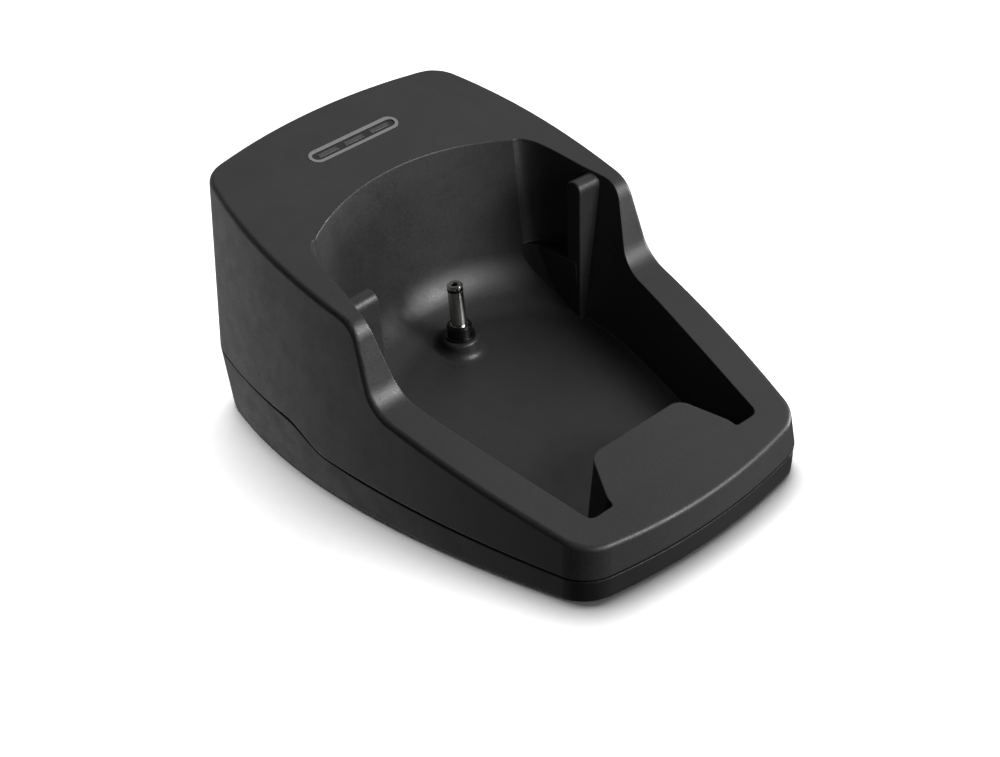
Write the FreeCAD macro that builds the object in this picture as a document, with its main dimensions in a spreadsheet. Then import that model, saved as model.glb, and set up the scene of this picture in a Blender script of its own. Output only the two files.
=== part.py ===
import FreeCAD, Part
import math
import os

import Sketcher
from FreeCAD import Placement, Rotation, Vector

# Table-top charging cradle for the battery pack of a cordless device.
# X is the width (the cradle is symmetric about X = 0), +Y is the rear, +Z is up, and the
# origin is on the table under the middle of the plan. All sizes are millimetres.

SIZES = {
    # plan outline of the upper shell, taken down its draft to table level
    "plan_half_length": 88.8,
    "front_bow": 5.85,
    "rear_bow": 6.5,
    "front_half_width": 49.2,
    "fore_half_width": 60.3,
    "middle_half_width": 66.8,
    "aft_half_width": 67.7,
    "rear_half_width": 59.6,
    "side_draft": 0.101,
    "front_draft": 0.03,
    "rear_draft": 0.04,
    "front_corner": 14.0,
    "rear_corner": 12.0,
    "shell_wall": 2.5,
    # side profile of the top: a front slope, a steep step and a rear slope
    "front_slope": 0.2705,
    "step_foot_y": -8.73,
    "step_foot_z": 43.2,
    "step_head_y": -1.94,
    "step_head_z": 71.5,
    "rear_slope": 0.2118,
    "step_foot_radius": 12.6,
    "step_head_radius": 9.1,
    "top_edge": 1.8,
    # parting line between the shells
    "parting_front_z": 10.3,
    "parting_foot_y": 18.3,
    "parting_foot_z": 16.0,
    "parting_head_y": 32.3,
    "parting_head_z": 22.5,
    "parting_rear_z": 25.8,
    "parting_radius": 20.0,
    "groove": 1.0,
    "lip": 1.2,
    "lip_rise": 2.0,
    # pocket
    "pocket_side_draft": 0.175,
    "pocket_end_draft": 0.11,
    "tub_wall": 2.2,
    "tub_floor": 1.9,
    "floor_level": 5.2,
    "floor_at_origin": 17.86,
    "floor_slope": 0.21,
    "floor_blend": 19.5,
    # tongue at the front of the pocket
    "tongue_root_half": 27.2,
    "tongue_tip_half": 19.4,
    "tongue_tip_y": -61.9,
    "tongue_draft": 0.1,
    "tongue_level": 28.0,
    "tongue_lift": 1.5,
    # guide ribs and ledges on the pocket's side walls
    "rib_inner": 43.4,
    "rib_front": 5.2,
    "rib_width": 6.7,
    "rib_top": 73.0,
    "rib_lean": 3.0,
    "rib_draft": 1.7,
    "slot_round": 1.2,
    "ledge_inner": 42.2,
    "ledge_top": 41.5,
    "ledge_length": 26.0,
    # charging plug
    "plug_y": 22.6,
    "mound_top": 27.2,
    "mound_radius": 6.6,
    "mound_foot": 9.6,
    "collar_top": 32.2,
    "collar_radius": 4.3,
    "flange_radius": 5.2,
    "flange_height": 0.9,
    "shank_radius": 3.7,
    "shank_bottom": 12.5,
    "collar_floor": 1.5,
    "barrel_radius": 2.75,
    "barrel_shank": 3.0,
    "barrel_bore": 2.3,
    "barrel_tail": 1.5,
    "barrel_top": 45.6,
    "plug_tip": 47.8,
    "insulator_ring": 1.1,
    "tip_bore": 1.05,
    "tip_rod": 1.6,
    "tip_stem": 0.9,
    "tail_length": 0.9,
    "stem_length": 2.5,
    "nut_radius": 5.8,
    "nut_height": 3.0,
    "nut_seat": 17.6,
    # indicator window on the rear slope
    "window_y": 69.5,
    "bezel_length": 37.3,
    "bezel_width": 6.8,
    "bezel_rim": 1.2,
    "segment_pitch": 11.1,
    "segment_length": 8.0,
    "segment_width": 1.8,
    # base shell and what stands on it
    "base_bottom": 0.8,
    "base_floor": 3.0,
    "foot_radius": 6.0,
    "foot_height": 2.0,
    "foot_recess": 1.2,
    "rear_foot_x": 45.0,
    "rear_foot_y": 79.0,
    "front_foot_x": 44.5,
    "front_foot_y": -66.0,
    "boss_radius": 4.0,
    "pilot_radius": 1.5,
    "screw_radius": 1.48,
    "screw_length": 11.0,
    "head_radius": 2.8,
    "head_height": 1.9,
    "head_pocket": 3.1,
    "board_length": 84.0,
    "board_front": 36.0,
    "board_depth": 48.0,
    "board_bottom": 7.0,
    "board_thick": 1.6,
    "standoff_radius": 3.0,
    "inlet_height": 5.5,
    "inlet_rear": 91.0,
}

doc = FreeCAD.newDocument("charging_cradle")
sheet = doc.addObject("Spreadsheet::Sheet", "sizes")
for row, (alias, value) in enumerate(SIZES.items(), 1):
    sheet.set(f"A{row}", alias)
    sheet.set(f"B{row}", str(value))
    sheet.setAlias(f"B{row}", alias)
doc.recompute()

FAR = 110.0
parts = []


def size(alias):
    return float(sheet.get(alias))


# ---------------------------------------------------------------- helpers for document objects

def bind(obj, **properties):
    """Bind properties to expressions of the sheet's cells."""
    for name, expression in properties.items():
        obj.setExpression(name, str(expression))


def place(obj, x=0, y=0, z=0, rotation=None):
    if rotation:
        obj.Placement = Placement(Vector(), rotation)
    for axis, expression in zip("xyz", (x, y, z)):
        obj.setExpression(f".Placement.Base.{axis}", str(expression))
    return obj


def cylinder(name, radius, height, x=0, y=0, z=0, rotation=None):
    obj = doc.addObject("Part::Cylinder", name)
    bind(obj, Radius=radius, Height=height)
    return place(obj, x, y, z, rotation)


def box(name, length, width, height, x=0, y=0, z=0):
    """A box centred on x and y, standing on z."""
    obj = doc.addObject("Part::Box", name)
    bind(obj, Length=length, Width=width, Height=height)
    return place(obj, f"{x} - ({length}) / 2", f"{y} - ({width}) / 2", z)


def cut(name, base, tool):
    obj = doc.addObject("Part::Cut", name)
    obj.Base = base
    obj.Tool = tool
    return obj


def fuse(name, shapes):
    obj = doc.addObject("Part::MultiFuse", name)
    obj.Shapes = shapes
    return obj


def group(name, shapes):
    """Several separate solids kept as one object."""
    obj = doc.addObject("Part::Compound", name)
    obj.Links = shapes
    return obj


def feature(name, shape):
    obj = doc.addObject("Part::Feature", name)
    obj.Shape = shape
    return obj


def keep(obj, label, placement=None):
    """Mark an object as one of the cradle's sub-parts."""
    obj.Label = label
    if placement:
        obj.Placement = placement
    parts.append(obj)
    return obj


def origin_plane(body, role):
    return next(plane for plane in body.Origin.OriginFeatures if plane.Role == role)


def sketch(body, name, role, offset=0):
    """A sketch on one of the body's own origin planes, offset along the plane's normal."""
    obj = body.newObject("Sketcher::SketchObject", name)
    obj.AttachmentSupport = [(origin_plane(body, role), "")]
    obj.MapMode = "FlatFace"
    obj.setExpression(".AttachmentOffset.Base.z", str(offset))
    return obj


def polygon(obj, points):
    """A closed outline whose corners are held by expressions for both coordinates."""
    values = [tuple(evaluate(item) for item in point) for point in points]
    count = len(points)
    for index in range(count):
        start = Vector(*values[index], 0)
        end = Vector(*values[(index + 1) % count], 0)
        obj.addGeometry(Part.LineSegment(start, end))
    for index in range(count):
        obj.addConstraint(Sketcher.Constraint("Coincident", index, 2, (index + 1) % count, 1))
        for kind, value, text in zip(("DistanceX", "DistanceY"), values[index], points[index]):
            hold = Sketcher.Constraint(kind, -1, 1, index, 1, value)
            obj.setExpression(f"Constraints[{obj.addConstraint(hold)}]", str(text))


def circle(obj, x, y, radius):
    """A circle whose centre and radius are held by expressions."""
    values = [evaluate(item) for item in (x, y, radius)]
    index = obj.addGeometry(Part.Circle(Vector(values[0], values[1], 0), Vector(0, 0, 1), values[2]))
    for kind, value, text in zip(("DistanceX", "DistanceY"), values, (x, y)):
        hold = Sketcher.Constraint(kind, -1, 1, index, 3, value)
        obj.setExpression(f"Constraints[{obj.addConstraint(hold)}]", str(text))
    hold = Sketcher.Constraint("Radius", index, values[2])
    obj.setExpression(f"Constraints[{obj.addConstraint(hold)}]", str(radius))


def evaluate(expression):
    return float(sheet.evalExpression(str(expression).replace("sizes.", "")))


def pad(body, outline, length):
    obj = body.newObject("PartDesign::Pad", outline.Name + "_pad")
    obj.Profile = outline
    bind(obj, Length=length)
    return obj


def turned(label, profile, x=0, y=0, z=0):
    """A body of revolution about Z; the profile holds (radius, height) pairs."""
    body = doc.addObject("PartDesign::Body", label)
    outline = sketch(body, label + "_profile", "XZ_Plane")
    polygon(outline, profile)
    turn = body.newObject("PartDesign::Revolution", label + "_turn")
    turn.Profile = outline
    turn.ReferenceAxis = (outline, ["V_Axis"])
    turn.Angle = 360
    return place(body, x, y, z)


# ---------------------------------------------------------------- outlines and profiles

def spline(points):
    curve = Part.BSplineCurve()
    steps = len(points) - 1
    curve.interpolate(Points=points, Parameters=[index / steps for index in range(steps + 1)])
    return curve.toShape()


def arc(start, middle, end):
    return Part.Arc(start, middle, end).toShape()


def rounded_path(points, radii):
    """Straight runs joined by tangent arcs."""
    edges = []
    last = points[0]
    for before, corner, after, radius in zip(points, points[1:], points[2:], radii):
        back = (before - corner).normalize()
        ahead = (after - corner).normalize()
        half = back.getAngle(ahead) / 2
        reach = radius / math.tan(half)
        middle = corner + (back + ahead).normalize() * (radius / math.sin(half) - radius)
        edges.append(Part.makeLine(last, corner + back * reach))
        edges.append(arc(corner + back * reach, middle, corner + ahead * reach))
        last = corner + ahead * reach
    edges.append(Part.makeLine(last, points[-1]))
    return edges


def side_region(points, radii, side):
    """A face in the YZ plane below (side -1) or above (side 1) a rounded line."""
    path = rounded_path([Vector(-FAR, y, z) for y, z in points], radii)
    first = path[0].Vertexes[0].Point
    last = path[-1].Vertexes[-1].Point
    level = Vector(0, 0, side * 2 * FAR)
    rest = [(last, last + level), (last + level, first + level), (first + level, first)]
    return Part.Face(Part.Wire(path + [Part.makeLine(*ends) for ends in rest]))


def across(face):
    return face.extrude(Vector(2 * FAR, 0, 0))


def top_region():
    """Side view of everything under the top surface."""
    foot_y, foot_z = size("step_foot_y"), size("step_foot_z")
    head_y, head_z = size("step_head_y"), size("step_head_z")
    front_z = foot_z - (foot_y + FAR) * size("front_slope")
    rear_z = head_z + (FAR - head_y) * size("rear_slope")
    points = [(-FAR, front_z), (foot_y, foot_z), (head_y, head_z), (FAR, rear_z)]
    return side_region(points, [size("step_foot_radius"), size("step_head_radius")], -1)


def top_height(y):
    """Height of the rear slope."""
    return size("step_head_z") + (y - size("step_head_y")) * size("rear_slope")


def parting_region(shift, side):
    """Side view of everything on one side of the parting line, moved up by shift."""
    half = size("plan_half_length")
    points = [
        (-half, size("parting_front_z")),
        (size("parting_foot_y"), size("parting_foot_z")),
        (size("parting_head_y"), size("parting_head_z")),
        (half, size("parting_rear_z")),
    ]
    start_slope = (points[1][1] - points[0][1]) / (points[1][0] + half)
    end_slope = (points[3][1] - points[2][1]) / (half - points[2][0])
    points[0] = (-FAR, points[1][1] - start_slope * (points[1][0] + FAR))
    points[3] = (FAR, points[2][1] + end_slope * (FAR - points[2][0]))
    raised = [(y, z + shift) for y, z in points]
    return across(side_region(raised, [size("parting_radius")] * 2, side))


def parting_height(y):
    """Height of the straight runs of the parting line at a plan station."""
    if y < size("parting_foot_y"):
        run = y + size("plan_half_length")
        rise = size("parting_foot_z") - size("parting_front_z")
        return size("parting_front_z") + rise * run / (size("parting_foot_y") + size("plan_half_length"))
    run = y - size("parting_head_y")
    rise = size("parting_rear_z") - size("parting_head_z")
    return size("parting_head_z") + rise * run / (size("plan_half_length") - size("parting_head_y"))


PLAN_WIDTHS = ["front_half_width", "fore_half_width", "middle_half_width", "aft_half_width",
               "rear_half_width"]


def plan_wire(widths, front, rear, level):
    """Closed plan outline: bowed sides through the half widths, and bowed ends."""
    step = (rear - front) / (len(widths) - 1)
    right = [Vector(width, front + step * index, level) for index, width in enumerate(widths)]
    left = [Vector(-point.x, point.y, level) for point in right]
    return Part.Wire([
        spline(right),
        arc(right[-1], Vector(0, rear + size("rear_bow"), level), left[-1]),
        spline(left[::-1]),
        arc(left[0], Vector(0, front - size("front_bow"), level), right[0]),
    ])


def upright_edges(shape):
    return [edge for edge in shape.Edges
            if abs(edge.Vertexes[0].Z - edge.Vertexes[-1].Z) > 0.8 * shape.BoundBox.ZLength]


def block(wire_at, inset, low, high):
    """A drafted solid between two plan outlines, with rounded upright corners."""
    body = Part.makeLoft([wire_at(low, inset), wire_at(high, inset)], True, True)
    front = [edge for edge in upright_edges(body) if edge.CenterOfMass.y < 0]
    body = body.makeFillet(size("front_corner") - inset, front)
    rear = [edge for edge in upright_edges(body)
            if edge.CenterOfMass.y > 0.8 * size("plan_half_length")]
    return body.makeFillet(size("rear_corner") - inset, rear)


def upper_wire(level, inset):
    widths = [size(alias) - size("side_draft") * level - inset for alias in PLAN_WIDTHS]
    front = -size("plan_half_length") + size("front_draft") * level + inset
    rear = size("plan_half_length") - size("rear_draft") * level - inset
    return plan_wire(widths, front, rear, level)


def base_wire(level, inset):
    """The base meets the upper shell's outline at the parting line and narrows below it."""
    half = size("plan_half_length")
    widths = []
    for index, alias in enumerate(PLAN_WIDTHS):
        station = half * (index / 2 - 1)
        flush = size(alias) - size("side_draft") * parting_height(station)
        widths.append(flush - 0.4 + 0.02 * level - inset)
    front = -half + size("front_draft") * size("parting_front_z") + 1.2 - 0.12 * level + inset
    rear = half - size("rear_draft") * size("parting_rear_z") - 1.2 + 0.05 * level - inset
    return plan_wire(widths, front, rear, level)


# ---------------------------------------------------------------- pocket of the upper shell

def pocket_wire(level, grow):
    """Plan of the pocket: tapered sides, narrowing rear cheeks and an arched rear wall."""
    side = size("pocket_side_draft") * level + grow
    end = size("pocket_end_draft") * level
    right = [
        Vector(33.2 + side - 0.02 * level, -77.4 - 0.1 * level - grow, level),
        Vector(37.2 + side, -49.4, level),
        Vector(41.2 + side, -19.0, level),
        Vector(41.5 + side, -1.1, level),
        Vector(39.6 + grow + 0.155 * level, 13.9, level),
        Vector(37.6 + grow + 0.138 * level, 20.6 + end, level),
        Vector(35.3 + grow + 0.094 * level, 28.0 + end + 0.5 * grow, level),
    ]
    left = [Vector(-point.x, point.y, level) for point in right]
    return Part.Wire([
        spline(right),
        arc(right[-1], Vector(0, 40.4 + end + grow, level), left[-1]),
        spline(left[::-1]),
        Part.makeLine(left[0], right[0]),
    ])


def floor_region(drop):
    """Side view of everything above the pocket floor, which rises towards the rear."""
    level = size("floor_level")
    bend = (level - size("floor_at_origin")) / size("floor_slope")
    rear = size("floor_at_origin") + size("floor_slope") * FAR
    points = [(-FAR, level - drop), (bend, level - drop), (FAR, rear - drop)]
    return across(side_region(points, [30.0], 1))


def tongue(grow):
    """The tongue's drafted block, before the top of the shell trims it."""
    wires = []
    for level in (0.0, 60.0):
        spread = grow + size("tongue_draft") * (size("tongue_level") - level)
        tip = Vector(size("tongue_tip_half") + spread, size("tongue_tip_y") + spread, level)
        mid = Vector(size("tongue_root_half") - 0.6 + spread, -77.2 + spread, level)
        root = Vector(size("tongue_root_half") + 0.8 + spread, -FAR, level)
        right = [root, mid, tip]
        left = [Vector(-point.x, point.y, level) for point in right[::-1]]
        wires.append(Part.makePolygon(right + left + [root]))
    body = Part.makeLoft(wires, True, True)
    tips = [edge for edge in upright_edges(body) if edge.CenterOfMass.y > -66]
    body = body.makeFillet(6.0 + grow, tips)
    shoulders = [edge for edge in upright_edges(body) if -80 < edge.CenterOfMass.y < -72]
    return body.makeFillet(8.0, shoulders)


def blend_floor(body, radius):
    """Round the corner between the pocket floor and its rear wall."""
    edges = [edge for edge in body.Edges
             if edge.CenterOfMass.y > 30 and abs(edge.CenterOfMass.x) < 1
             and edge.CenterOfMass.z < 40]
    return body.makeFillet(radius, edges)


def cheek_recess(grow):
    """Space over the crescent shelf, where the rear cheek stands further out than the wall below."""
    low, high = size("ledge_top") - grow, 79.0
    plans = {
        low: [(50.4, -1.1), (49.6, 13.9), (47.6, 25.8), (39.3, 32.4)],
        high: [(55.5, -1.1), (51.5, 13.9), (48.7, 29.3), (42.9, 36.7)],
    }
    wires = []
    for level, plan in plans.items():
        points = [Vector(x + grow, y, level) for x, y in plan]
        ends = [points[-1], Vector(30, points[-1].y, level), Vector(30, points[0].y, level), points[0]]
        wires.append(Part.Wire([spline(points)] + Part.makePolygon(ends).Edges))
    start = size("rib_front") + size("rib_width") / 2 - grow
    behind = Part.makeBox(60, FAR, FAR, Vector(20, start, 0))
    return Part.makeLoft(wires, True, True).common(behind)


def pocket_space():
    """The bare pocket with its floor, before ribs, ledges and mound take their share."""
    space = Part.makeLoft([pocket_wire(-5.0, 0), pocket_wire(FAR, 0)], True, True)
    space = blend_floor(space.common(floor_region(0)), size("floor_blend"))
    corners = [edge for edge in upright_edges(space) if edge.CenterOfMass.y < -70]
    space = space.makeFillet(3.0, corners)
    space = space.fuse([cheek_recess(0), mirrored_x(cheek_recess(0))]).cut(tongue(0))
    slot_tips = [edge for edge in space.Edges
                 if edge.CenterOfMass.y < -78 and 20 < abs(edge.CenterOfMass.x) < 32
                 and edge.BoundBox.ZLength > 5]
    return space.makeFillet(size("slot_round"), slot_tips)


def tub_block():
    """Outside of the pocket's tub, open below the tongue."""
    grow = size("tub_wall")
    body = Part.makeLoft([pocket_wire(-5.0, grow), pocket_wire(FAR, grow)], True, True)
    body = body.common(floor_region(size("tub_floor")))
    body = blend_floor(body, size("floor_blend") + grow)
    body = body.fuse([cheek_recess(grow), mirrored_x(cheek_recess(grow))])
    drop = Vector(0, 0, -size("shell_wall"))
    under = top_region().extrude(Vector(2 * FAR, 0, 0)).translated(drop)
    return body.cut(tongue(-grow).common(under))


def guide_rib():
    """A guide rib with a half-round top, reaching in from the right side wall."""
    width = size("rib_width")
    high = size("rib_top") - width / 2
    inner, front = size("rib_inner"), size("rib_front")
    slab = Part.makeBox(30, width, high, Vector(inner, front, 0))
    middle = Vector(inner, front + width / 2, high)
    crest = Part.makeCylinder(width / 2, 30, middle, Vector(1, 0, 0))
    rib = slab.fuse(crest).removeSplitter()
    nose = [edge for edge in rib.Edges if edge.BoundBox.XMax < inner + 0.01 and edge.BoundBox.ZMax > 5]
    rib = rib.makeFillet(0.7, nose)
    rib.rotate(middle, Vector(1, 0, 0), size("rib_lean"))
    rib.rotate(middle, Vector(0, 1, 0), size("rib_draft"))
    return rib


def ledge():
    """A low block behind the rib that makes a crescent shelf on the side wall."""
    start = size("rib_front") + size("rib_width") / 2
    block_shape = Part.makeBox(30, size("ledge_length"), size("ledge_top"),
                               Vector(size("ledge_inner"), start, 0))
    shelf = [edge for edge in block_shape.Edges
             if edge.BoundBox.XMax < size("ledge_inner") + 0.01 and edge.BoundBox.ZMin > 5]
    return block_shape.makeFillet(0.6, shelf)


def mirrored_x(shape):
    return shape.mirror(Vector(), Vector(1, 0, 0))


def plug_mound():
    """The turned mound that carries the charging plug, with a flared foot."""
    top, radius, foot = size("mound_top"), size("mound_radius"), size("mound_foot")
    profile = Part.Wire([
        Part.makeLine(Vector(0, 0, 5), Vector(0, 0, top)),
        Part.makeLine(Vector(0, 0, top), Vector(radius - 1.2, 0, top)),
        arc(Vector(radius - 1.2, 0, top), Vector(radius - 0.35, 0, top - 0.35),
            Vector(radius, 0, top - 1.2)),
        Part.makeLine(Vector(radius, 0, top - 1.2), Vector(radius + 0.5, 0, 5)),
        Part.makeLine(Vector(radius + 0.5, 0, 5), Vector(0, 0, 5)),
    ])
    mound = Part.Face(profile).revolve(Vector(), Vector(0, 0, 1), 360)
    return mound.translated(Vector(0, size("plug_y"), 0)), foot - radius


def pocket_tool():
    """Everything that is open space in the finished pocket."""
    tool = pocket_space()
    for shape in (guide_rib(), ledge()):
        tool = tool.cut(shape).cut(mirrored_x(shape))
    mound, flare = plug_mound()
    tool = tool.cut(mound)
    foot = [edge for edge in tool.Edges
            if edge.BoundBox.XLength < 18 and abs(edge.BoundBox.Center.x) < 1
            and abs(edge.BoundBox.Center.y - size("plug_y")) < 2
            and edge.BoundBox.ZMax < size("mound_top") - 1.5 and edge.BoundBox.XLength > 8]
    return tool.makeFillet(flare, foot)


# ---------------------------------------------------------------- upper housing

BOSS_SPOTS = {"rear": (52.0, 66.0), "middle": (55.5, -4.0), "front": (12.0, -71.5)}
BOSS_SPLIT = {"rear": 9.0, "middle": 8.0, "front": 7.5}


def boss_spots():
    """Centre and meeting height of each of the six screw bosses."""
    for name, (x, y) in BOSS_SPOTS.items():
        for side in (-1, 1):
            yield side * x, y, BOSS_SPLIT[name]


def indicator_frame():
    """Placement of the tilted indicator group on the rear slope."""
    y = size("window_y")
    tilt = math.degrees(math.atan(size("rear_slope")))
    return Placement(Vector(0, y, top_height(y)), Rotation(Vector(1, 0, 0), tilt))


def capsule(length, width, low, high):
    """A flat capsule lying along X, between two heights."""
    radius = width / 2
    half = length / 2 - radius
    corners = [Vector(-half, -radius, low), Vector(half, -radius, low),
               Vector(half, radius, low), Vector(-half, radius, low)]
    outline = Part.Wire([
        Part.makeLine(corners[0], corners[1]),
        arc(corners[1], Vector(half + radius, 0, low), corners[2]),
        Part.makeLine(corners[2], corners[3]),
        arc(corners[3], Vector(-half - radius, 0, low), corners[0]),
    ])
    return Part.Face(outline).extrude(Vector(0, 0, high - low))


def skin():
    """Outside of the upper shell, with its rounded top edge."""
    body = block(upper_wire, 0, -5.0, FAR).common(across(top_region()))
    seen = {}
    for face in body.Faces:
        u0, u1, v0, v1 = face.ParameterRange
        if face.normalAt((u0 + u1) / 2, (v0 + v1) / 2).z > 0.15:
            for edge in face.Edges:
                seen.setdefault(edge.hashCode(), []).append(edge)
    rim = [edges[0] for edges in seen.values() if len(edges) == 1]
    return body.makeFillet(size("top_edge"), rim)


def tongue_lift():
    """A thin wedge that lifts the tongue above the front slope."""
    root, tip = -79.0, size("tongue_tip_y")
    slope = size("front_slope")
    foot = size("step_foot_z") + (root - size("step_foot_y")) * slope
    end = size("step_foot_z") + (tip - size("step_foot_y")) * slope
    outline = Part.makePolygon([
        Vector(-FAR, root - 3.0, foot - 3.0 * slope - 2.0), Vector(-FAR, tip + 3, end - 2.0),
        Vector(-FAR, tip + 3, end + 3 * slope + size("tongue_lift")), Vector(-FAR, root, foot),
        Vector(-FAR, root - 3.0, foot - 3.0 * slope - 2.0)])
    return across(Part.Face(outline)).common(tongue(0))


def upper_shell():
    outside = skin()
    wall = size("shell_wall")
    void = block(upper_wire, wall, -5.0, FAR).common(
        across(top_region()).translated(Vector(0, 0, -wall * 1.03)))
    walls = outside.cut(void).common(parting_region(0, 1))
    tub = tub_block().common(outside)
    bosses = [Part.makeCylinder(size("boss_radius"), FAR, Vector(x, y, split))
              for x, y, split in boss_spots()]
    board_boss = [Part.makeCylinder(2.6, 6.5, Vector(side * 21.5, 0, -9.0)) for side in (-1, 1)]
    frame = indicator_frame().toMatrix()
    hung = [shape.transformGeometry(frame) for shape in board_boss]
    inner = void.fuse(walls)
    body = walls.fuse([tub] + [boss.common(inner) for boss in bosses] + hung)
    body = body.fuse(tongue_lift())
    body = body.fuse(Part.makeCylinder(7.6, 8.0, Vector(0, size("plug_y"), size("nut_seat"))))
    body = body.cut(pocket_tool())
    lip_gap = block(upper_wire, size("lip") + 0.1, -5.0, FAR)
    relief = lip_gap.cut(block(upper_wire, wall + 2.0, -5.0, FAR))
    relief = relief.common(parting_region(size("lip_rise") + 0.3, -1))
    body = body.cut(relief.common(parting_region(-3.0, 1)))
    for x, y, split in boss_spots():
        body = body.cut(Part.makeCylinder(size("pilot_radius"), 9.0, Vector(x, y, split)))
    for side in (-1, 1):
        pilot = Part.makeCylinder(0.8, 5.0, Vector(side * 21.5, 0, -9.0))
        body = body.cut(pilot.transformGeometry(frame))
    body = body.cut(Part.makeCylinder(size("shank_radius") + 0.1, 30.0, Vector(0, size("plug_y"), 5)))
    window = capsule(size("bezel_length") + 0.1, size("bezel_width") + 0.1, -6.0, 4.0)
    body = body.cut(window.transformGeometry(frame))
    return body


# ---------------------------------------------------------------- base shell

FEET = [("rear_foot_x", "rear_foot_y"), ("front_foot_x", "front_foot_y")]
STANDOFFS = [(-38.0, 40.5), (38.0, 40.5), (-38.0, 79.5), (38.0, 79.5)]


def base_shell():
    low = size("base_bottom")
    wall = size("shell_wall")
    outside = block(base_wire, 0, low, 60.0).common(parting_region(-size("groove"), -1))
    bottom = [edge for edge in outside.Edges if edge.BoundBox.ZMax < low + 0.01]
    outside = outside.makeFillet(1.0, bottom)
    inside = block(base_wire, wall, size("base_floor"), 60.0)
    body = outside.cut(inside)
    lip = block(base_wire, size("lip") + 0.4, low, 60.0).cut(block(base_wire, wall, low, 60.0))
    lip = lip.common(parting_region(size("lip_rise"), -1)).common(parting_region(-4.0, 1))
    body = body.fuse(lip)
    for x, y, split in boss_spots():
        pillar = Part.makeCylinder(size("boss_radius"), split - low, Vector(x, y, low))
        body = body.fuse(pillar)
    for x, y in STANDOFFS:
        height = size("board_bottom") - low - 0.5
        body = body.fuse(Part.makeCylinder(size("standoff_radius"), height, Vector(x, y, low + 0.5)))
    for x, y, split in boss_spots():
        body = body.cut(Part.makeCylinder(size("screw_radius") + 0.2, FAR, Vector(x, y, 0)))
        body = body.cut(Part.makeCylinder(size("head_radius") + 0.3, size("head_pocket"), Vector(x, y, 0)))
    for x, y in STANDOFFS:
        body = body.cut(Part.makeCylinder(1.0, 5.0, Vector(x, y, size("board_bottom") - 4.7)))
    for x_name, y_name in FEET:
        for side in (-1, 1):
            recess = Part.makeCylinder(size("foot_radius") + 0.15, low + size("foot_recess"),
                                       Vector(side * size(x_name), size(y_name), 0))
            body = body.cut(recess)
    jack = Part.makeCylinder(4.6, 20.0, Vector(0, 85.0, inlet_axis()), Vector(0, 1, 0))
    plate = Part.makeBox(60.3, 34.3, 0.5, Vector(-30.15, -20.15, low))
    return body.cut(jack).cut(plate)


def inlet_axis():
    return size("board_bottom") + size("board_thick") + size("inlet_height")


keep(feature("upper_housing", upper_shell()), "upper_housing")
keep(feature("base_shell", base_shell()), "base_shell")


# ---------------------------------------------------------------- indicator group

def capsule_solid(name, length, width, height, z):
    """A capsule from a box and two cylinders, bound to the sheet."""
    half = f"(({length}) - ({width})) / 2"
    middle = box(name + "_middle", f"({length}) - ({width})", width, height, 0, 0, z)
    ends = [cylinder(f"{name}_end_{side}", f"({width}) / 2", height, f"{sign}{half}", 0, z)
            for side, sign in (("left", "-"), ("right", ""))]
    return fuse(name, [middle] + ends)


def indicator_bezel():
    outer = capsule_solid("bezel_outer", "sizes.bezel_length", "sizes.bezel_width", 2.52, -2.4)
    inner = capsule_solid("bezel_inner", "sizes.bezel_length - 2 * sizes.bezel_rim",
                          "sizes.bezel_width - 2 * sizes.bezel_rim", 6, -4)
    keep(cut("bezel", outer, inner), "indicator_bezel", indicator_frame())


def indicator_lens():
    lens = capsule_solid("lens", "sizes.bezel_length - 2 * sizes.bezel_rim - 0.1",
                         "sizes.bezel_width - 2 * sizes.bezel_rim - 0.1", 1.6, -1.85)
    keep(lens, "indicator_lens", indicator_frame())


def segments(name, extra, height, z, width="sizes.segment_width"):
    """Three boxes side by side at the segment pitch."""
    return [box(f"{name}_{step + 1}", f"sizes.segment_length + {extra}", f"{width} + {extra}", height,
                f"{step} * sizes.segment_pitch", 0, z) for step in (-1, 0, 1)]


def light_guide():
    plate = box("guide_plate", 33.0, "sizes.segment_width + 1.8", 0.7, 0, 0, -2.6)
    guide = fuse("guide", [plate] + segments("guide_prong", 0, 4.1, -6.6))
    keep(guide, "light_guide", indicator_frame())


def light_baffle():
    slab = box("baffle_slab", 36.6, 8.0, 4.8, 0, 0, -7.6)
    windows = fuse("baffle_windows", segments("baffle_window", 0.3, 8.0, -9.0))
    keep(cut("baffle", slab, windows), "light_baffle", indicator_frame())


def indicator_board():
    slab = box("small_board_slab", 50.0, 13.0, 1.2, 0, 0, -10.2)
    holes = fuse("small_board_holes", [
        cylinder(f"small_board_hole_{name}", 1.1, 4, x, 0, -12)
        for name, x in (("left", -21.5), ("right", 21.5))])
    keep(cut("small_board", slab, holes), "indicator_board", indicator_frame())
    lamps = [box(f"lamp_{step + 1}", 3.0, 1.8, 1.2, f"{step} * sizes.segment_pitch", 0, -9.0)
             for step in (-1, 0, 1)]
    keep(group("lamps", lamps), "indicator_leds", indicator_frame())


def screw(name, shank_radius, shank_length, head_radius, head_height, x, y, seat, head_above):
    """A screw whose head bears on the height seat, from above or from below."""
    shank_z = f"{seat} - {shank_length}" if head_above else seat
    head_z = seat if head_above else f"{seat} - {head_height}"
    shank = cylinder(name + "_shank", shank_radius, shank_length, x, y, shank_z)
    head = cylinder(name + "_head", head_radius, head_height, x, y, head_z)
    return fuse(name, [shank, head])


def indicator_board_screws():
    screws = [screw(f"small_screw_{name}", 0.78, 5.6, 1.9, 1.2, x, 0, -10.2, False)
              for name, x in (("left", -21.5), ("right", 21.5))]
    keep(group("small_screws", screws), "indicator_board_screws", indicator_frame())


# ---------------------------------------------------------------- main board and what it carries

BOARD_TOP = "(sizes.board_bottom + sizes.board_thick)"


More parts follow.
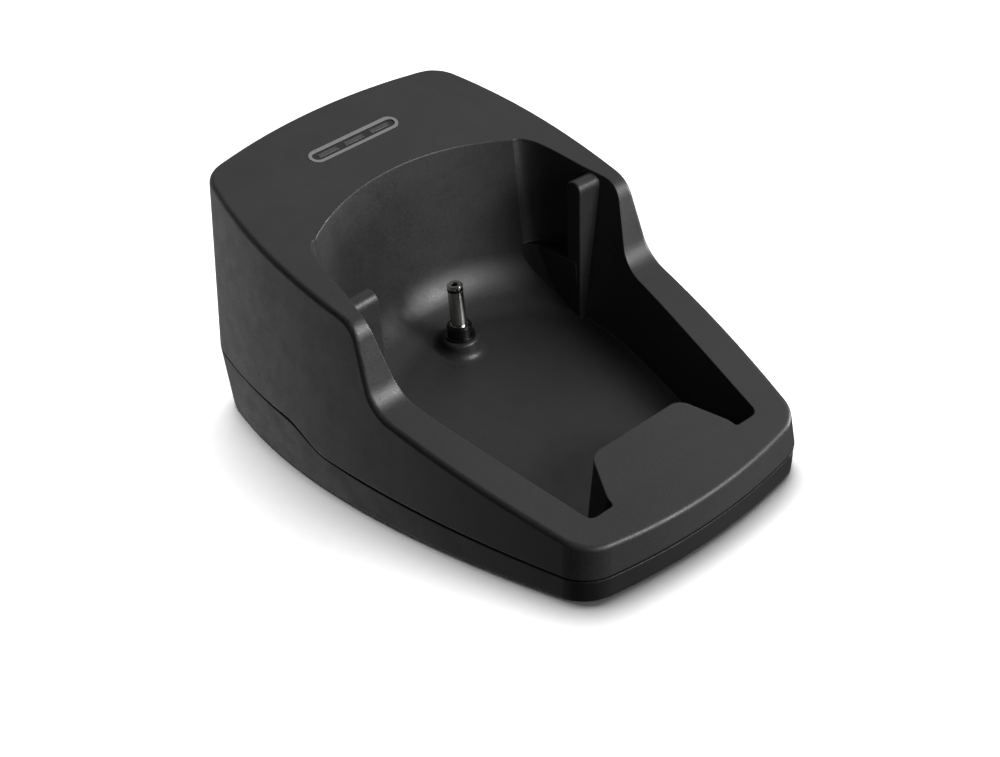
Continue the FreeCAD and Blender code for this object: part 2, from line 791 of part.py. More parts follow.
def main_board():
    """Circuit board with clipped front corners and four screw holes."""
    body = doc.addObject("PartDesign::Body", "main_board")
    outline = sketch(body, "board_outline", "XY_Plane", "sizes.board_bottom")
    half = "sizes.board_length / 2"
    rear = "sizes.board_front + sizes.board_depth"
    polygon(outline, [
        (f"-{half} + 4", "sizes.board_front"), (f"{half} - 4", "sizes.board_front"),
        (half, "sizes.board_front + 4"), (half, rear),
        (f"-{half}", rear), (f"-{half}", "sizes.board_front + 4")])
    for x, y in STANDOFFS:
        circle(outline, x, y, 1.15)
    pad(body, outline, "sizes.board_thick")
    keep(body, "main_board")


def main_board_screws():
    screws = [screw(f"board_screw_{index}", 0.98, 4.8, 2.1, 1.5, x, y, BOARD_TOP, True)
              for index, (x, y) in enumerate(STANDOFFS, 1)]
    keep(group("board_screws", screws), "main_board_screws")


def charge_controller():
    chip = box("controller_case", 7.0, 7.0, 1.1, -12, 52, BOARD_TOP)
    keep(chip, "charge_controller")


def power_inductor():
    """Shielded inductor: a square ferrite frame with the wound drum in its middle."""
    frame = box("inductor_frame", 12.0, 12.0, 6.5, 14, 56, BOARD_TOP)
    well = cylinder("inductor_well", 5.2, 6.0, 14, 56, f"{BOARD_TOP} + 1")
    drum = cylinder("inductor_drum", 4.4, 5.6, 14, 56, f"{BOARD_TOP} + 1")
    keep(fuse("inductor", [cut("inductor_shell", frame, well), drum]), "power_inductor")


def filter_capacitors():
    cans = [cylinder(f"can_{index}", 5.0, 16.0, 32, y, BOARD_TOP)
            for index, y in enumerate((52.0, 65.0), 1)]
    keep(group("cans", cans), "filter_capacitors")


def power_transistor():
    case = box("transistor_case", 4.4, 10.0, 9.2, -27.7, 62, f"{BOARD_TOP} + 4")
    tab = box("transistor_tab", 1.3, 10.0, 15.4, -29.25, 62, f"{BOARD_TOP} + 4")
    legs = [box(f"transistor_leg_{index}", 0.5, 0.8, 4.2, -27.2, y, BOARD_TOP)
            for index, y in enumerate((59.5, 62.0, 64.5), 1)]
    keep(fuse("transistor", [case, tab] + legs), "power_transistor")


def heat_sink():
    """Extruded sink: a back plate with four fins."""
    body = doc.addObject("PartDesign::Body", "heat_sink")
    outline = sketch(body, "sink_outline", "XY_Plane", BOARD_TOP)
    face, root, tip = -29.9, -32.4, -39.5
    points = [(face, 52.0), (face, 72.0), (tip, 72.0)]
    for start in (72.0, 66.0, 60.0):
        points += [(tip, start - 2.0), (root, start - 2.0), (root, start - 6.0), (tip, start - 6.0)]
    points += [(tip, 52.0)]
    polygon(outline, points[::-1])
    pad(body, outline, 20)
    keep(body, "heat_sink")


def ribbon_sockets():
    lower = box("lower_socket", 9.0, 3.4, 4.0, -10, 66, BOARD_TOP)
    upper = group("upper_socket", [box("upper_socket_case", 9.0, 3.4, 2.0, -10, 0, -12.2)])
    upper.Placement = indicator_frame()
    keep(group("sockets", [lower, upper]), "ribbon_sockets")


def ribbon_cable():
    """Flat cable from the indicator board down to the main board."""
    top = indicator_frame().multVec(Vector(-10, 0, -12.2))
    below = indicator_frame().multVec(Vector(-10, 0, -24.0))
    board = size("board_bottom") + size("board_thick") + 4.0
    left = -13.5
    points = [Vector(left, top.y, top.z), Vector(left, below.y, below.z),
              Vector(left, 66, board + 22), Vector(left, 66, board)]
    band = Part.Wire(rounded_path(points, [9.0, 12.0])).extrude(Vector(7, 0, 0))
    keep(feature("ribbon", band.makeOffsetShape(0.3, 0.001, fill=True)), "ribbon_cable")


# ---------------------------------------------------------------- charging plug and its leads

def plug_collar():
    """Stepped collar: a cup that holds the barrel, with a hole in its floor for the barrel's tail."""
    flange = "sizes.mound_top + sizes.flange_height"
    seat = "sizes.shank_bottom + sizes.collar_floor"
    keep(turned("plug_collar", [
        ("sizes.barrel_tail + 0.02", "sizes.shank_bottom"), ("sizes.shank_radius", "sizes.shank_bottom"),
        ("sizes.shank_radius", "sizes.mound_top"), ("sizes.flange_radius", "sizes.mound_top"),
        ("sizes.flange_radius", flange), ("sizes.collar_radius", flange),
        ("sizes.collar_radius", "sizes.collar_top - 0.6"), ("sizes.collar_radius - 0.6", "sizes.collar_top"),
        ("sizes.barrel_shank + 0.02", "sizes.collar_top"), ("sizes.barrel_shank + 0.02", seat),
        ("sizes.barrel_tail + 0.02", seat)], 0, "sizes.plug_y", 0), "plug_collar")


def plug_barrel():
    """Outer contact: a tube with a narrower tail that is riveted over the ring lug."""
    seat, foot = "sizes.shank_bottom + sizes.collar_floor", "sizes.shank_bottom - sizes.tail_length"
    bore, tail = "sizes.barrel_bore", "sizes.barrel_tail"
    keep(turned("plug_barrel", [
        (f"{tail} - 0.3", foot), (tail, foot), (tail, seat), ("sizes.barrel_shank", seat),
        ("sizes.barrel_shank", "sizes.collar_top"), ("sizes.barrel_radius", "sizes.collar_top"),
        ("sizes.barrel_radius", "sizes.barrel_top - 0.15"),
        ("sizes.barrel_radius - 0.15", "sizes.barrel_top"), (bore, "sizes.barrel_top"),
        (bore, f"{seat} + 0.4"), (f"{tail} - 0.3", f"{seat} + 0.4")], 0, "sizes.plug_y", 0), "plug_barrel")


def plug_insulator():
    """Sleeve between the two contacts, with a ring that parts them at the top."""
    seat, foot = "sizes.shank_bottom + sizes.collar_floor", "sizes.shank_bottom - sizes.tail_length"
    ring = "sizes.barrel_top + sizes.insulator_ring"
    keep(turned("plug_insulator", [
        ("sizes.tip_stem + 0.02", foot), ("sizes.barrel_tail - 0.32", foot),
        ("sizes.barrel_tail - 0.32", f"{seat} + 0.42"), ("sizes.barrel_bore - 0.02", f"{seat} + 0.42"),
        ("sizes.barrel_bore - 0.02", "sizes.barrel_top"), ("sizes.barrel_radius", "sizes.barrel_top"),
        ("sizes.barrel_radius", ring), ("sizes.tip_rod + 0.02", ring),
        ("sizes.tip_rod + 0.02", f"{seat} + 2"), ("sizes.tip_stem + 0.02", f"{seat} + 2")],
        0, "sizes.plug_y", 0), "plug_insulator")


def plug_tip_contact():
    """Inner contact: a ring at the tip, a hollow rod and a thin stem for the positive lead."""
    step = "sizes.shank_bottom + sizes.collar_floor + 2.02"
    foot = "sizes.shank_bottom - sizes.stem_length"
    ring = "sizes.barrel_top + sizes.insulator_ring"
    keep(turned("plug_tip_contact", [
        (0, foot), ("sizes.tip_stem", foot), ("sizes.tip_stem", step), ("sizes.tip_rod", step),
        ("sizes.tip_rod", ring), ("sizes.barrel_radius", ring),
        ("sizes.barrel_radius", "sizes.plug_tip - 0.4"), ("sizes.barrel_radius - 0.35", "sizes.plug_tip"),
        ("sizes.tip_bore + 0.3", "sizes.plug_tip"), ("sizes.tip_bore", "sizes.plug_tip - 0.3"),
        ("sizes.tip_bore", "sizes.plug_tip - 11"), (0, "sizes.plug_tip - 11")],
        0, "sizes.plug_y", 0), "plug_tip_contact")


def plug_retainer():
    blank = doc.addObject("Part::Prism", "nut_blank")
    blank.Polygon = 6
    bind(blank, Circumradius="sizes.nut_radius", Height="sizes.nut_height")
    place(blank, 0, "sizes.plug_y", "sizes.nut_seat - sizes.nut_height")
    thread = cylinder("nut_bore", "sizes.shank_radius + 0.02", 20, 0, "sizes.plug_y", 5)
    keep(cut("nut", blank, thread), "plug_retainer")


def ring_lug():
    """Solder lug under the collar, around the barrel's tail, with a tab for the negative lead."""
    z = "sizes.shank_bottom - 0.6"
    washer = cylinder("lug_washer", "sizes.shank_radius", 0.6, 0, "sizes.plug_y", z)
    tab = box("lug_tab", 4.2, 2.6, 0.6, -4.6, "sizes.plug_y", z)
    bore = cylinder("lug_bore", "sizes.barrel_tail + 0.02", 4, 0, "sizes.plug_y", f"{z} - 1")
    keep(cut("lug", fuse("lug_blank", [washer, tab]), bore), "ring_lug")


def lead(label, points, radii):
    """A round insulated wire along straight runs and tangent arcs."""
    path = rounded_path([Vector(*point) for point in points], radii)
    start = path[0].tangentAt(path[0].FirstParameter)
    ring = Part.Wire(Part.makeCircle(0.8, Vector(*points[0]), start))
    keep(feature(label + "_sweep", Part.Wire(path).makePipeShell([ring], True, True)), label)


def lead_set():
    lug = size("shank_bottom") - 0.6 - 0.8
    stem = size("shank_bottom") - size("stem_length") - 0.8
    y = size("plug_y")
    lead("negative_lead", [(-19.5, 36.4, lug), (-19.5, y, lug), (-4.6, y, lug)], [6.0])
    lead("positive_lead", [(-22, 36.4, lug), (-22, 30, stem + 0.4), (-22, y - 2, stem),
                           (-9, y - 2, stem), (0.9, y, stem)], [12.0, 8.0, 5.5, 12.0])
    shell = box("socket_shell", 8.4, 6.6, 5.6, -20.75, 40.8, BOARD_TOP)
    well = box("socket_well", 6.9, 6.0, 4.3, -20.75, 40.1, f"{BOARD_TOP} + 0.65")
    keep(cut("socket", shell, well), "lead_socket")
    keep(box("crimp_housing", 6.8, 6.6, 4.2, -20.75, 39.75, f"{BOARD_TOP} + 0.7"), "lead_plug")


# ---------------------------------------------------------------- power inlet, feet, screws, plate

def inlet():
    rear = "sizes.inlet_rear"
    axis = f"{BOARD_TOP} + sizes.inlet_height"
    along = Rotation(Vector(1, 0, 0), -90)
    case = box("inlet_case", 9.0, 14.0, 11.0, 0, f"{rear} - 7", BOARD_TOP)
    bore = cylinder("inlet_bore", 3.2, 12.0, 0, f"{rear} - 10.5", axis, along)
    keep(cut("inlet_shell", case, bore), "inlet_body")
    keep(cylinder("inlet_pin_rod", 1.0, 9.5, 0, f"{rear} - 10.5", axis, along), "inlet_pin")
    keep(box("inlet_leaf", 1.8, 8.0, 0.4, 0, f"{rear} - 6.5", f"{axis} + 2.6"), "inlet_spring")


def housing_screws():
    screws = [screw(f"housing_screw_{index}", "sizes.screw_radius", "sizes.screw_length",
                    "sizes.head_radius", "sizes.head_height", x, y, "sizes.head_pocket", False)
              for index, (x, y, _) in enumerate(boss_spots(), 1)]
    keep(group("screws", screws), "housing_screws")


def rubber_feet():
    feet = [cylinder(f"foot_{x_name}_{side}", "sizes.foot_radius", "sizes.foot_height",
                     f"{sign}sizes.{x_name}", f"sizes.{y_name}", 0)
            for x_name, y_name in FEET for side, sign in (("left", "-"), ("right", ""))]
    keep(group("feet", feet), "rubber_feet")


def rating_plate():
    plate = box("plate_sheet", 60.0, 34.0, 0.4, 0, -3, "sizes.base_bottom + 0.1")
    keep(plate, "rating_plate")


indicator_bezel()
indicator_lens()
light_guide()
light_baffle()
indicator_board()
indicator_board_screws()
main_board()
main_board_screws()
charge_controller()
power_inductor()
filter_capacitors()
power_transistor()
heat_sink()
ribbon_sockets()
ribbon_cable()
plug_collar()
plug_barrel()
plug_insulator()
plug_tip_contact()
plug_retainer()
ring_lug()
lead_set()
inlet()
housing_screws()
rubber_feet()
rating_plate()


# ---------------------------------------------------------------- checks and files

doc.recompute()
failed = [obj.Name for obj in doc.Objects if {"Invalid", "Error"} & set(obj.State)]
if failed:
    raise RuntimeError(f"objects that did not compute: {failed}")
for part in parts:
    if part.Shape.isNull() or not part.Shape.isValid() or not part.Shape.Solids:
        raise RuntimeError(f"{part.Label} has no valid solid")

os.makedirs("parts", exist_ok=True)
for part in parts:
    part.Shape.exportStep(os.path.join("parts", part.Label + ".step"))
    print(f"{part.Label}: {len(part.Shape.Solids)} solid(s), {part.Shape.Volume:.0f} mm3")
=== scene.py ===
import math

import bpy
from mathutils import Matrix, Vector


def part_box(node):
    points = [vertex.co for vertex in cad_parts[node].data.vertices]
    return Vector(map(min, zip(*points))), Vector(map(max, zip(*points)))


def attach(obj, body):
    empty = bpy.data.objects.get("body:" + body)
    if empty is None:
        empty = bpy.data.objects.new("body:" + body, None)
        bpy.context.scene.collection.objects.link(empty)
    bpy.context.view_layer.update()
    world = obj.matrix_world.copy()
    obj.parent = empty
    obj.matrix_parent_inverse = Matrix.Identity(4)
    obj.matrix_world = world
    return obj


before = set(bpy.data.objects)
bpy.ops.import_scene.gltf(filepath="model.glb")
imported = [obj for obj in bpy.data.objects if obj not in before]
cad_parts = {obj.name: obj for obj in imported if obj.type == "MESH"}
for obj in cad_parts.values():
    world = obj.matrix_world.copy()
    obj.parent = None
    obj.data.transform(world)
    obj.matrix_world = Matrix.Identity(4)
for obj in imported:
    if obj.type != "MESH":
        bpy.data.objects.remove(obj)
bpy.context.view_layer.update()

# Charging cradle: looks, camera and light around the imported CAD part.
# Everything is in metres, in the frame of the CAD: +X right, +Y rear, +Z up, table at Z = 0.
# Angles are in degrees. Azimuth 0 is towards +X (right) and 90 towards +Y (rear), except in
# CAMERA, where the azimuth is the turn from the front, -Y, and negative is to the left.

MM = 0.001


# ---------------------------------------------------------------- camera

CAMERA = {
    "azimuth": -38.365, "elevation": 34.656, "roll": -5.897,
    # the point looked at, its distance, and the small offsets across the view, in mm
    "aim": (0, 0, 18.7), "distance": 681.73, "aside": -2.19, "above": 0.73,
    "sensor_width": 36.0, "lens": 72.93,
    "clip": (0.05, 20),
}


def add_camera():
    """A long lens from the front left, rolled a little."""
    azimuth, elevation, roll = (
        math.radians(CAMERA[key]) for key in ("azimuth", "elevation", "roll"))
    back = Vector((math.sin(azimuth) * math.cos(elevation),
                   -math.cos(azimuth) * math.cos(elevation), math.sin(elevation)))
    right = Vector((math.cos(azimuth), math.sin(azimuth), 0))
    up = back.cross(right)
    side = right * math.cos(roll) + up * math.sin(roll)
    top = up * math.cos(roll) - right * math.sin(roll)
    data = bpy.data.cameras.new("camera")
    data.sensor_width, data.lens = CAMERA["sensor_width"], CAMERA["lens"]
    data.clip_start, data.clip_end = CAMERA["clip"]
    camera = bpy.data.objects.new("camera", data)
    axes = Matrix((side, top, back)).transposed()
    aim = Vector([value * MM for value in CAMERA["aim"]])
    place = (aim + back * (CAMERA["distance"] * MM) + side * (CAMERA["aside"] * MM)
             + top * (CAMERA["above"] * MM))
    camera.matrix_world = Matrix.Translation(place) @ axes.to_4x4()
    bpy.context.scene.collection.objects.link(camera)
    bpy.context.scene.camera = camera


# ---------------------------------------------------------------- shader building

class Shader:
    """A small helper around one material's node tree."""

    def __init__(self, name):
        self.material = bpy.data.materials.new(name)
        self.material.use_nodes = True
        self.nodes = self.material.node_tree.nodes
        self.links = self.material.node_tree.links
        self.surface = self.nodes["Principled BSDF"]

    def add(self, kind, inputs=None, **settings):
        """A node with its settings, and with a value or a link for each named input."""
        node = self.nodes.new(kind)
        for key, value in settings.items():
            setattr(node, key, value)
        for key, value in (inputs or {}).items():
            if isinstance(value, bpy.types.NodeSocket):
                self.links.new(value, node.inputs[key])
            else:
                node.inputs[key].default_value = value
        return node

    def set(self, **values):
        """Values or sockets for the surface's own inputs, named with _ for spaces."""
        for key, value in values.items():
            socket = self.surface.inputs[key.replace("_", " ")]
            if isinstance(value, bpy.types.NodeSocket):
                self.links.new(value, socket)
            else:
                socket.default_value = value

    def place(self):
        """The point on the object, in metres."""
        return self.add("ShaderNodeTexCoord").outputs["Object"]

    def noise(self, at, scale, detail=2.0, roughness=0.5):
        """Noise with a scale per metre, mostly between 0.3 and 0.7."""
        node = self.add("ShaderNodeTexNoise", {"Vector": at, "Scale": scale, "Detail": detail,
                                               "Roughness": roughness})
        return node.outputs["Fac"]

    def span(self, value, low, high, start=0.0, end=1.0):
        """Maps start..end of a value to low..high, clamped."""
        node = self.add("ShaderNodeMapRange", {"Value": value, "From Min": start, "From Max": end,
                                               "To Min": low, "To Max": high})
        return node.outputs["Result"]

    def span_noise(self, value, low, high):
        """Maps the usual span of a noise to low..high."""
        return self.span(value, low, high, 0.3, 0.7)

    def math(self, operation, first, second):
        return self.add("ShaderNodeMath", {0: first, 1: second}, operation=operation).outputs[0]

    def blend(self, factor, first, second):
        """A mix of two colours."""
        node = self.add("ShaderNodeMix", {"Factor": factor, 6: first, 7: second}, data_type="RGBA")
        return node.outputs[2]

    def bump(self, height, depth, strength=1.0, normal=None):
        inputs = {"Height": height, "Distance": depth, "Strength": strength}
        if normal:
            inputs["Normal"] = normal
        return self.add("ShaderNodeBump", inputs).outputs["Normal"]


def grey(level):
    """A neutral grey with a trace of blue."""
    return (level, level, level * 1.01, 1.0)


def darker(colour, factor):
    return tuple(c * factor for c in colour[:3]) + (1.0,)


# Moulded plastic. Noise scales are per metre and depths in mm.
DRIFT_SCALE, PATCH_SCALE, SWELL_SCALE = 22.0, 140.0, 320.0
SWELL_DEPTH, SWELL_STRENGTH = 0.012, 0.6
# Pores from the first to the second level of their noise get lighter, up to PORE_SHARE.
PORE_START, PORE_END, PORE_SHARE = 0.45, 0.8, 0.55
# An edge is worn smooth, and lightened with a painted highlight up to a share, where the rounded
# normal turns away from the flat one: fully at the first cosine, and not at all at the second.
WEAR_AND_HIGHLIGHT_FULL, WEAR_AND_HIGHLIGHT_NONE, HIGHLIGHT_SHARE = 0.6, 0.999, 0.6
# How many times the light tone the pores and the painted edge highlight are.
PORE_LIGHT, HIGHLIGHT_LIGHT = 1.9, 4.5
# How far the roughness drifts, falls on worn edges and follows the pores.
PATCH_GLOSS, WORN_GLOSS, PORE_GLOSS = 0.045, 0.16, 0.09
BEVEL_SAMPLES = 6
PLASTIC_IOR = 1.48


def moulded_plastic(name, dark, light, rough, grain=0.45, depth=0.035, edge=0.65, shine=0.5):
    """Moulded plastic with a spark-eroded grain, drifting gloss, and edges worn smooth, with a
    painted highlight that makes them pale.

    grain is the pores' size, depth theirs, and edge the radius that rounds the edges, in mm.
    """
    s = Shader(name)
    at = s.place()
    bevel = s.add("ShaderNodeBevel", {"Radius": edge * MM}, samples=BEVEL_SAMPLES)
    rounded = bevel.outputs["Normal"]
    flat = s.add("ShaderNodeNewGeometry").outputs["Normal"]
    compare = s.add("ShaderNodeVectorMath", {0: rounded, 1: flat}, operation="DOT_PRODUCT")
    worn_and_highlight = s.span(compare.outputs["Value"], 1.0, 0.0, WEAR_AND_HIGHLIGHT_FULL, WEAR_AND_HIGHLIGHT_NONE)
    pores = s.noise(at, 1000 / grain, detail=3.0, roughness=0.6)
    drift = s.noise(at, DRIFT_SCALE, detail=3.0)
    patches = s.noise(at, PATCH_SCALE, detail=4.0, roughness=0.6)
    tint = s.blend(s.span_noise(drift, 0.0, 1.0), grey(dark), grey(light))
    pale = s.span(pores, 0.0, PORE_SHARE, PORE_START, PORE_END)
    tint = s.blend(pale, tint, grey(light * PORE_LIGHT))
    # painted highlight: the rounded edges are lightened in colour
    tint = s.blend(s.math("MULTIPLY", worn_and_highlight, HIGHLIGHT_SHARE), tint, grey(light * HIGHLIGHT_LIGHT))
    gloss = s.span_noise(patches, rough - PATCH_GLOSS, rough + PATCH_GLOSS)
    gloss = s.math("SUBTRACT", gloss, s.math("MULTIPLY", worn_and_highlight, WORN_GLOSS))
    gloss = s.math("ADD", gloss, s.span_noise(pores, -PORE_GLOSS, PORE_GLOSS))
    swell = s.bump(s.noise(at, SWELL_SCALE), SWELL_DEPTH * MM, SWELL_STRENGTH, rounded)
    s.set(Base_Color=tint, Roughness=gloss, Normal=s.bump(pores, depth * MM, 1.0, swell))
    s.set(IOR=PLASTIC_IOR, Specular_IOR_Level=shine)
    return s.material


# Turned metal: the tool rings' pitch and depth in mm, and how far their noise is squeezed across
# the axis. Then the smudges' scale per metre, and how dark and how dull they are.
RING_PITCH, RING_DEPTH, RING_STRENGTH, RING_SQUEEZE = 0.22, 0.004, 0.7, 0.08
SMUDGE_SCALE, SMUDGE_DARK, SMUDGE_DULL = 420.0, 0.72, 0.12
SMUDGE_START, SMUDGE_END = 0.35, 0.75


def turned_metal(name, colour, rough):
    """Plated turned metal: faint tool rings along Z, and smudges in its gloss."""
    s = Shader(name)
    at = s.place()
    squeeze = {"Vector": at, "Scale": (RING_SQUEEZE, RING_SQUEEZE, 1.0)}
    squeezed = s.add("ShaderNodeMapping", squeeze).outputs["Vector"]
    rings = s.noise(squeezed, 1000 / RING_PITCH)
    smudge = s.noise(at, SMUDGE_SCALE, detail=3.0)
    share = s.span(smudge, 0.0, 1.0, SMUDGE_START, SMUDGE_END)
    s.set(Base_Color=s.blend(share, colour, darker(colour, SMUDGE_DARK)), Metallic=1.0,
          Roughness=s.span_noise(smudge, rough, rough + SMUDGE_DULL),
          Normal=s.bump(rings, RING_DEPTH * MM, RING_STRENGTH))
    return s.material


# A simple finish: the broad noise's scale as a share of the fine one's, how much glossier and
# duller the fine one makes the surface, and the strength of its relief.
BROAD_SHARE = 0.08
FINE_GLOSSY, FINE_DULL, FINE_STRENGTH = 0.06, 0.08, 0.6


def simple_finish(name, colour, rough, scale=900.0, depth=0.01, metallic=0.0, spread=0.25):
    """A plain finish whose colour, gloss and surface all vary finely."""
    s = Shader(name)
    at = s.place()
    fine = s.noise(at, scale, detail=3.0, roughness=0.6)
    broad = s.noise(at, scale * BROAD_SHARE, detail=3.0)
    deep = darker(colour, 1 - spread)
    s.set(Base_Color=s.blend(s.span_noise(broad, 0.0, 1.0), colour, deep), Metallic=metallic,
          Roughness=s.span_noise(fine, rough - FINE_GLOSSY, rough + FINE_DULL),
          Normal=s.bump(fine, depth * MM, FINE_STRENGTH))
    return s.material


HAZE_SCALE, HAZE_DEPTH = 900.0, 0.002


def smoked_lens(name):
    """Smoked window: nearly black and glossy, with a soft haze."""
    s = Shader(name)
    haze = s.noise(s.place(), HAZE_SCALE, detail=3.0)
    s.set(Base_Color=s.blend(haze, grey(0.01), grey(0.016)),
          Roughness=s.span_noise(haze, 0.2, 0.3),
          Normal=s.bump(haze, HAZE_DEPTH * MM, 0.5), Specular_IOR_Level=0.3)
    return s.material


def paint(node, material):
    """Replaces whatever material a CAD node came with."""
    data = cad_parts[node].data
    data.materials.clear()
    data.materials.append(material)


MATERIALS = {
    "housing": moulded_plastic("housing_plastic", 0.016, 0.023, 0.42),
    "base": moulded_plastic("base_plastic", 0.008, 0.012, 0.44, shine=0.3),
    "collar": moulded_plastic("collar_plastic", 0.002, 0.003, 0.26,
                              grain=0.9, depth=0.004, edge=0.25),
    "inner": moulded_plastic("inner_plastic", 0.01, 0.014, 0.5, edge=0.2),
    "rubber": moulded_plastic("foot_rubber_skin", 0.015, 0.02, 0.75,
                              grain=0.6, depth=0.03, edge=0.4),
    "nickel": turned_metal("nickel_plate", (0.78, 0.77, 0.75, 1), 0.07),
    "brass": turned_metal("brass_plate", (0.7, 0.56, 0.3, 1), 0.25),
    "steel": turned_metal("screw_steel_finish", (0.5, 0.5, 0.52, 1), 0.3),
    "sink": simple_finish("extruded_sink", (0.5, 0.5, 0.51, 1), 0.35, metallic=1.0),
    "bezel": simple_finish("bezel_paint", (0.26, 0.26, 0.265, 1), 0.32,
                           depth=0.006, spread=0.12),
    "lens": smoked_lens("smoked_window"),
    "segment": simple_finish("segment_finish", (0.06, 0.06, 0.062, 1), 0.3,
                             depth=0.004, spread=0.15),
    "guide": simple_finish("clear_guide_finish", (0.6, 0.6, 0.6, 1), 0.2),
    "board": simple_finish("solder_mask", (0.012, 0.09, 0.03, 1), 0.35, scale=500.0),
    "lamp": simple_finish("lamp_body", (0.7, 0.7, 0.66, 1), 0.4),
    "sleeve": simple_finish("sleeve_film", (0.015, 0.02, 0.07, 1), 0.25),
    "cream": simple_finish("socket_nylon", (0.6, 0.56, 0.45, 1), 0.45),
    "red": simple_finish("red_insulation", (0.42, 0.02, 0.02, 1), 0.4),
    "black": simple_finish("black_insulation", (0.02, 0.02, 0.02, 1), 0.4),
    "ribbon": simple_finish("ribbon_film", (0.65, 0.65, 0.66, 1), 0.4),
    "ferrite": simple_finish("ferrite_skin", (0.07, 0.07, 0.072, 1), 0.7, depth=0.03),
    "plate": simple_finish("plate_foil", (0.3, 0.3, 0.305, 1), 0.45, metallic=0.6),
}

# Which CAD nodes get which material.
FINISH = {
    "housing": ["upper_housing"],
    "base": ["base_shell"],
    "collar": ["plug_collar", "plug_insulator"],
    "inner": ["light_baffle", "charge_controller", "power_transistor", "inlet_body",
              "plug_retainer"],
    "rubber": ["rubber_feet"],
    "nickel": ["plug_barrel", "plug_tip_contact", "inlet_pin"],
    "brass": ["inlet_spring", "ring_lug"],
    "steel": ["housing_screws", "main_board_screws", "indicator_board_screws"],
    "sink": ["heat_sink"],
    "bezel": ["indicator_bezel"],
    "lens": ["indicator_lens"],
    "guide": ["light_guide"],
    "board": ["main_board", "indicator_board"],
    "lamp": ["indicator_leds"],
    "sleeve": ["filter_capacitors"],
    "cream": ["ribbon_sockets", "lead_socket", "lead_plug"],
    "red": ["positive_lead"],
    "black": ["negative_lead"],
    "ribbon": ["ribbon_cable"],
    "ferrite": ["power_inductor"],
    "plate": ["rating_plate"],
}


# ---------------------------------------------------------------- window segments

# The three segments of the indicator window, in mm. The window is a plate that lies in the rear
# slope, which rises SLOPE per unit of Y.
SLOPE = 0.2118
LENS_THICK = 1.6
LENS_MIDDLE = sum((Vector(corner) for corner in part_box("indicator_lens")), Vector()) / 2
SEGMENT = {"pitch": 11.1, "length": 8.0, "width": 1.8, "rise": 0.05,
           "lip": 0.32, "lip_rise": 0.13, "lip_chamfer": 0.04}
CORNERS = ((-1, -1), (1, -1), (1, 1), (-1, 1))


def on_lens(x, across, height):
    """A point in metres from millimetres along, across and above the window's top face."""
    tilt = math.atan(SLOPE)
    rise = LENS_THICK / 2 + height
    return LENS_MIDDLE + Vector((x, across * math.cos(tilt) - rise * math.sin(tilt),
                                 across * math.sin(tilt) + rise * math.cos(tilt))) * MM


def add_segment(number, middle):
    """A raised bar with a proud lip around it, moulded on the smoked window."""
    lip, lip_rise, chamfer = SEGMENT["lip"], SEGMENT["lip_rise"], SEGMENT["lip_chamfer"]
    rings = [(0.0, 0.0), (0.0, lip_rise - chamfer), (chamfer, lip_rise),
             (lip - chamfer, lip_rise), (lip, SEGMENT["rise"])]
    sides = len(CORNERS)
    verts, faces = [], []
    for inset, rise in rings:
        half_x, half_y = SEGMENT["length"] / 2 - inset, SEGMENT["width"] / 2 - inset
        for x, y in CORNERS:
            verts.append(on_lens(middle + x * half_x, y * half_y, rise))
    for ring in range(len(rings) - 1):
        for corner in range(sides):
            a, b = ring * sides + corner, ring * sides + (corner + 1) % sides
            faces.append((a, b, b + sides, a + sides))
    last = (len(rings) - 1) * sides
    faces += [tuple(range(last, last + sides)), tuple(reversed(range(sides)))]
    mesh = bpy.data.meshes.new(f"window_segment_{number}")
    mesh.from_pydata(verts, [], faces)
    piece = bpy.data.objects.new(f"window_segment_{number}", mesh)
    bpy.context.scene.collection.objects.link(piece)
    mesh.materials.append(MATERIALS["segment"])
    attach(piece, "root")


# ---------------------------------------------------------------- floor and light

FLOOR_REACH = 6.0
FIBRE_SCALE = 260.0


def add_floor():
    """A large pale floor that throws no light back on the object."""
    mesh = bpy.data.meshes.new("floor")
    verts = [(x * FLOOR_REACH, y * FLOOR_REACH, 0) for x, y in CORNERS]
    mesh.from_pydata(verts, [], [(0, 1, 2, 3)])
    floor = bpy.data.objects.new("floor", mesh)
    bpy.context.scene.collection.objects.link(floor)
    s = Shader("floor_paper")
    fibre = s.noise(s.place(), FIBRE_SCALE, detail=3.0)
    s.set(Base_Color=s.blend(fibre, (0.86, 0.86, 0.86, 1), (0.9, 0.9, 0.9, 1)),
          Roughness=s.span(fibre, 0.8, 0.95), Specular_IOR_Level=0.1)
    mesh.materials.append(s.material)
    floor.visible_glossy = False
    floor.visible_diffuse = False
    return floor


def towards(azimuth, elevation):
    """Unit vector at an azimuth, from +X towards +Y, and an elevation, in degrees."""
    turn, rise = math.radians(azimuth), math.radians(elevation)
    return Vector((math.cos(turn) * math.cos(rise), math.sin(turn) * math.cos(rise),
                   math.sin(rise)))


def add_soft_box(name, floor, azimuth, elevation, distance, size, power, lights_floor):
    """A square soft box that lights either the floor alone or everything but the floor."""
    data = bpy.data.lights.new(name, "AREA")
    data.size, data.energy = size, power
    light = bpy.data.objects.new(name, data)
    light.location = towards(azimuth, elevation) * distance
    light.rotation_euler = (-light.location).to_track_quat("-Z", "Y").to_euler()
    bpy.context.scene.collection.objects.link(light)
    lit = bpy.data.collections.new(name + "_lit")
    lit.objects.link(floor)
    if not lights_floor:
        lit.collection_objects[0].light_linking.link_state = "EXCLUDE"
    light.light_linking.receiver_collection = lit


# Soft boxes: azimuth, elevation, distance, size, power in watts, and whether only the floor is
# lit.
SOFT_BOXES = {
    "key": (-71, 30, 0.9, 0.26, 2.3, False),
    "key_right": (-58, 31, 0.9, 0.26, 3.3, False),
    "key_low": (-70, 16, 0.9, 0.26, 1.6, False),
    "edge": (-18, 6, 0.9, 0.26, 6.0, False),
    "floor_fill": (50, 74, 0.8, 0.7, 12.6, True),
}
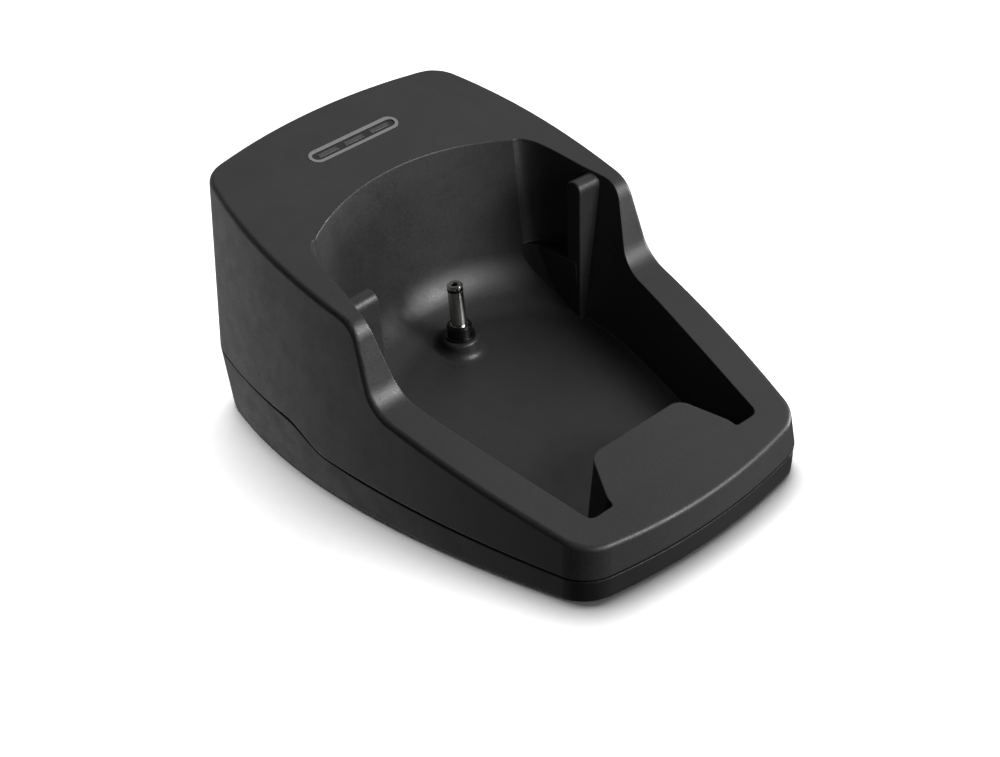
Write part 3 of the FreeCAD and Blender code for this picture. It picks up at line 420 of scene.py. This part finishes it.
# Round soft patches in the world: azimuth, elevation, the half angles up to which a patch is
# full and beyond which it is out, and strength.
SOFT_LIGHTS = {
    "front": (-88, 14, 10, 26, 2.1),
    "right": (-12, 38, 14, 32, 0.2),
    "right_rear": (32, 52, 18, 38, 0.64),
    "rear": (88, 42, 16, 36, 0.25),
    "rear_left_low": (112, 4, 8, 22, 0.8),
    "rear_low": (84, 6, 14, 34, 0.55),
    "floor_rear": (108, -32, 16, 34, 0.6),
    "floor_left": (142, -36, 14, 32, 0.26),
    "floor_front": (-50, -38, 16, 36, 0.3),
}
AMBIENT = 0.03


def add_world():
    """A dim surround with the soft lights as smooth round patches in it."""
    world = bpy.data.worlds.new("studio")
    bpy.context.scene.world = world
    world.use_nodes = True
    nodes, links = world.node_tree.nodes, world.node_tree.links
    direction = nodes.new("ShaderNodeTexCoord").outputs["Generated"]
    total = None
    for azimuth, elevation, full, outer, strength in SOFT_LIGHTS.values():
        facing = nodes.new("ShaderNodeVectorMath")
        facing.operation = "DOT_PRODUCT"
        links.new(direction, facing.inputs[0])
        facing.inputs[1].default_value = towards(azimuth, elevation)
        patch = nodes.new("ShaderNodeMapRange")
        patch.interpolation_type = "SMOOTHSTEP"
        links.new(facing.outputs["Value"], patch.inputs["Value"])
        patch.inputs["From Min"].default_value = math.cos(math.radians(outer))
        patch.inputs["From Max"].default_value = math.cos(math.radians(full))
        patch.inputs["To Max"].default_value = strength
        # the first sum adds the ambient level, and each later one the sum before it
        joined = nodes.new("ShaderNodeMath")
        joined.inputs[1].default_value = AMBIENT
        links.new(patch.outputs["Result"], joined.inputs[0])
        if total:
            links.new(total, joined.inputs[1])
        total = joined.outputs[0]
    background = nodes["Background"]
    background.inputs["Color"].default_value = (1, 1, 1, 1)
    links.new(total, background.inputs["Strength"])


# ---------------------------------------------------------------- scene

for finish, cad_nodes in FINISH.items():
    for cad_node in cad_nodes:
        paint(cad_node, MATERIALS[finish])
for step in (-1, 0, 1):
    add_segment(step + 2, step * SEGMENT["pitch"])
add_camera()
floor_piece = add_floor()
add_world()
for box_name, values in SOFT_BOXES.items():
    add_soft_box(box_name, floor_piece, *values)
bpy.context.scene.view_settings.view_transform = "Standard"
